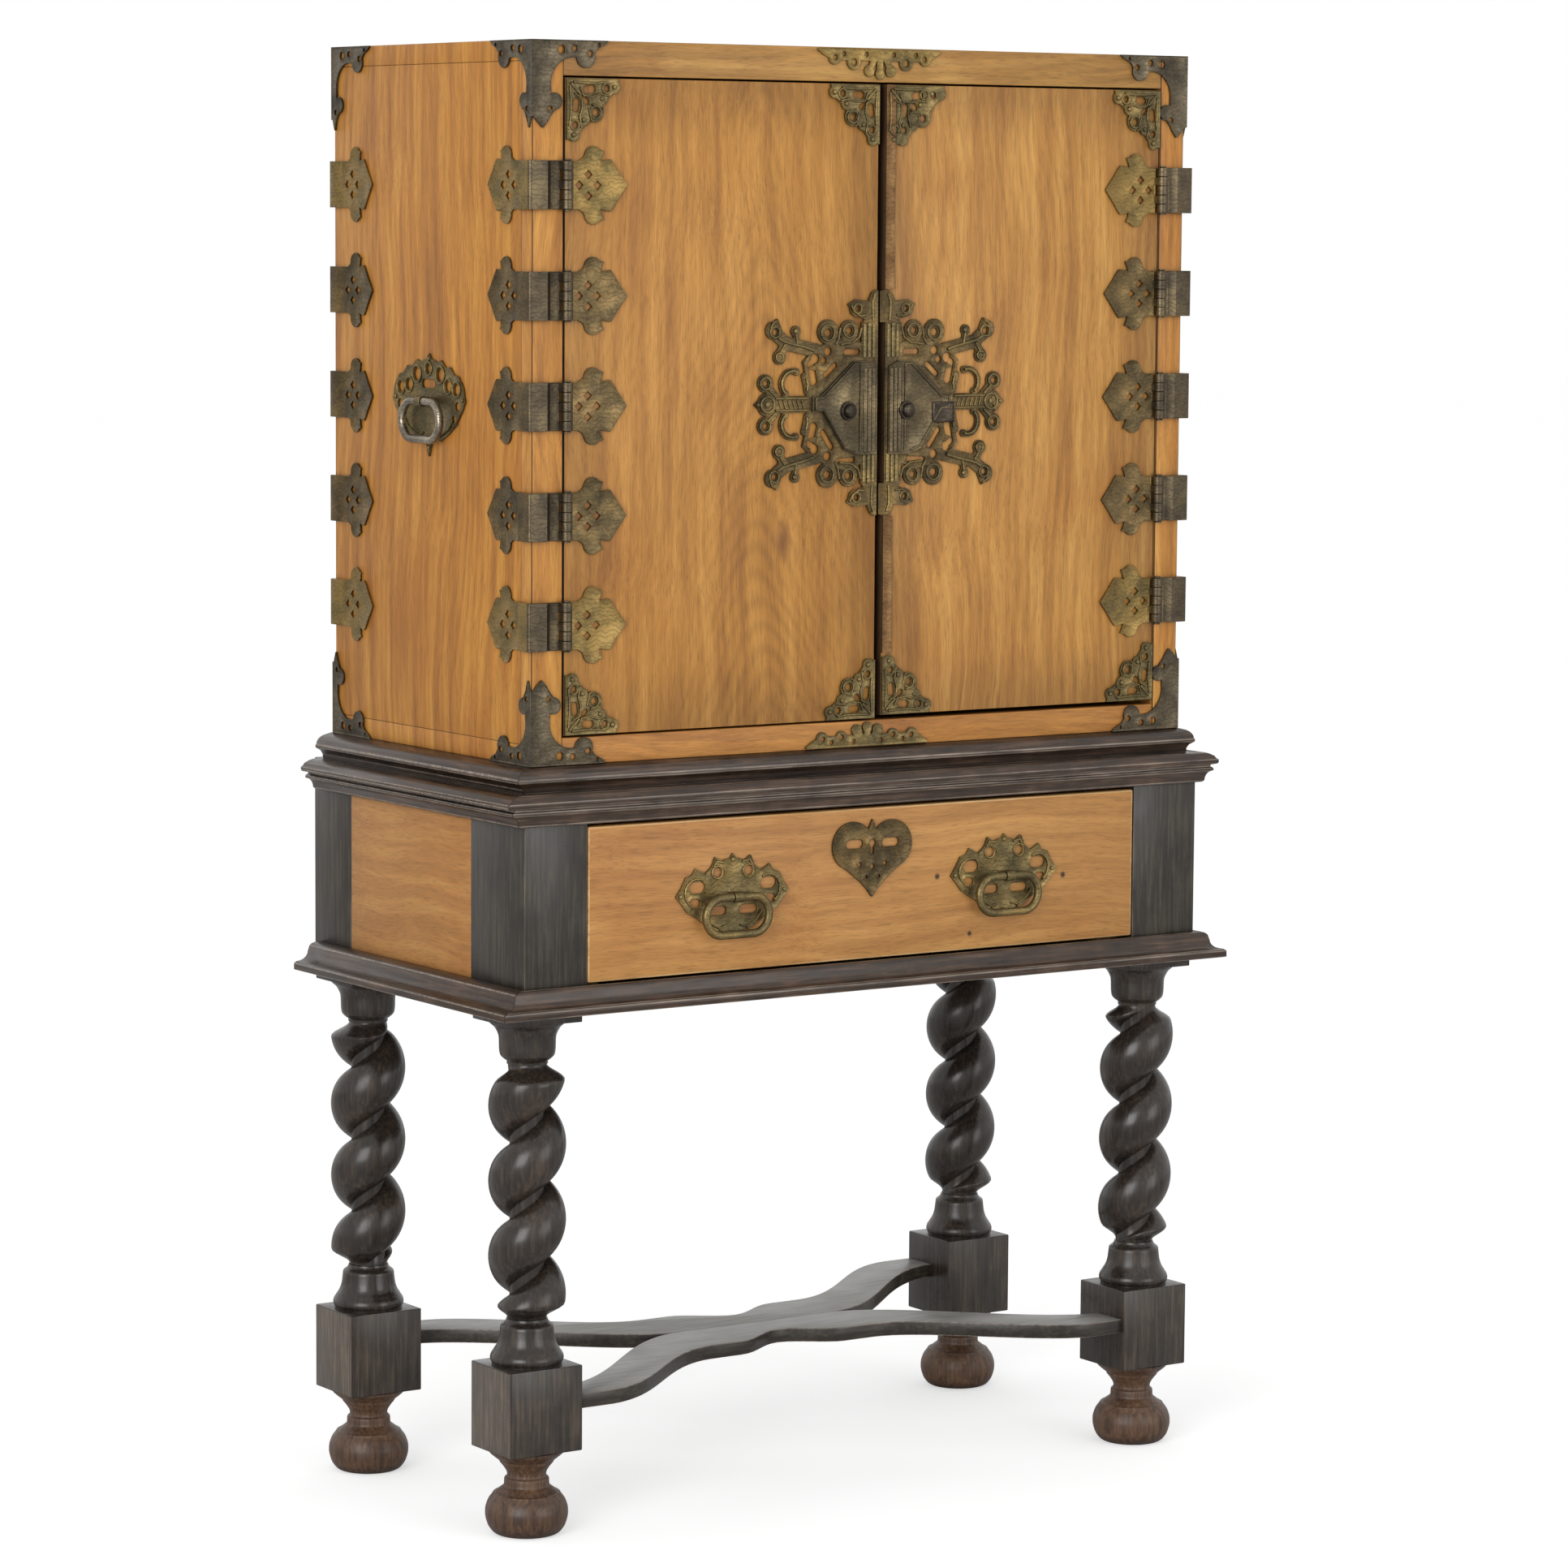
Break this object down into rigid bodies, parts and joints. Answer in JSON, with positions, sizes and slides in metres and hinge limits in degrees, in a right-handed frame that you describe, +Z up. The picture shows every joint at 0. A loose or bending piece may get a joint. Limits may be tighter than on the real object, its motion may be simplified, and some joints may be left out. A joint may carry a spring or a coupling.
{
  "type": "cabinet on stand",
  "caption": "Baroque cabinet with pierced brass mounts and hinged doors on an ebonised stand with a frieze drawer, barley-twist legs, turned feet and a serpentine stretcher.",
  "frame": {"origin": "middle of the whole object's footprint, on the floor", "axes": "+X to the right of someone facing the doors, -Y out of the front, +Z up"},
  "size_m": [0.967, 0.4774, 1.6],
  "materials": {
    "oak_face": "satin varnish over oak",
    "oak_inside": "plain oak",
    "ebonised": "worn ebonised polish",
    "brown_turning": "brown polish",
    "brass": "dark patinated brass",
    "iron": "forged and filed"
  },
  "bodies": {
    "stand": {"case_bottom": "oak_face", "case_top": "oak_face", "case_side_left": "oak_face", "case_side_right": "oak_face", "case_back": "oak_inside", "case_stile_left": "oak_face", "case_stile_right": "oak_face", "case_rail_top": "oak_face", "case_rail_bottom": "oak_face", "shelves": "oak_inside", "shelf_battens": "oak_inside", "case_moulding_front": "ebonised", "case_moulding_ends": "ebonised", "case_plinth_back": "ebonised", "hinge_case_leaves": "brass", "hinge_pins": "brass", "back_corner_straps": "brass", "corner_mounts": "brass", "centre_mounts": "brass", "side_handle_plates": "brass", "stand_top": "ebonised", "top_moulding_front": "ebonised", "top_moulding_ends": "ebonised", "posts_front": "ebonised", "posts_back": "ebonised", "frieze_end_panels": "oak_face", "frieze_back_panel": "oak_inside", "stand_floor": "ebonised", "bottom_moulding_front": "ebonised", "bottom_moulding_ends": "ebonised", "drawer_runners": "oak_inside", "legs_front": "ebonised", "legs_back": "ebonised", "feet": "brown_turning", "stretcher_front": "ebonised", "stretcher_back": "ebonised"},
    "left_door": {"door_left": "oak_face", "lock_plate_left": "brass", "lock_keeper": "iron", "door_mounts_left": "brass", "hinge_door_leaves_left": "brass"},
    "right_door": {"door_right": "oak_face", "meeting_strip": "brass", "lock_plate_right": "brass", "lock_case": "iron", "door_mounts_right": "brass", "hinge_door_leaves_right": "brass"},
    "bolt": {"lock_bolt": "iron"},
    "drawer": {"drawer_front": "oak_face", "drawer_sides": "oak_inside", "drawer_back": "oak_inside", "drawer_bottom": "oak_inside", "drawer_escutcheon": "brass", "drawer_handle_plates": "brass"},
    "drawer_bail_l": {"drawer_bail_left": "brass"},
    "drawer_bail_r": {"drawer_bail_right": "brass"},
    "side_bail_l": {"side_bail_left": "brass"},
    "side_bail_r": {"side_bail_right": "brass"}
  },
  "joints": [
    {"name": "left_door_hinge", "type": "hinge", "parent": "stand", "child": "left_door", "pos_m": [-0.391, -0.21005, 1.217], "axis": [0, 0, -1], "range_deg": [0, 165]},
    {"name": "right_door_hinge", "type": "hinge", "parent": "stand", "child": "right_door", "pos_m": [0.396, -0.21005, 1.217], "axis": [0, 0, 1], "range_deg": [0, 165]},
    {"name": "bolt_slide", "type": "slide", "parent": "right_door", "child": "bolt", "axis": [-1, 0, 0], "range_m": [0, 0.018]},
    {"name": "drawer_slide", "type": "slide", "parent": "stand", "child": "drawer", "axis": [0, -1, 0], "range_m": [0, 0.3]},
    {"name": "drawer_bail_left_pivot", "type": "hinge", "parent": "drawer", "child": "drawer_bail_l", "pos_m": [-0.187, -0.23275, 0.6857], "axis": [-1, 0, 0], "range_deg": [0, 160]},
    {"name": "drawer_bail_right_pivot", "type": "hinge", "parent": "drawer", "child": "drawer_bail_r", "pos_m": [0.176, -0.23275, 0.6857], "axis": [-1, 0, 0], "range_deg": [0, 160]},
    {"name": "side_bail_left_pivot", "type": "hinge", "parent": "stand", "child": "side_bail_l", "pos_m": [-0.4425, 0.00925, 1.216], "axis": [0, 1, 0], "range_deg": [0, 160]},
    {"name": "side_bail_right_pivot", "type": "hinge", "parent": "stand", "child": "side_bail_r", "pos_m": [0.4425, 0.00925, 1.216], "axis": [0, -1, 0], "range_deg": [0, 160]}
  ]
}
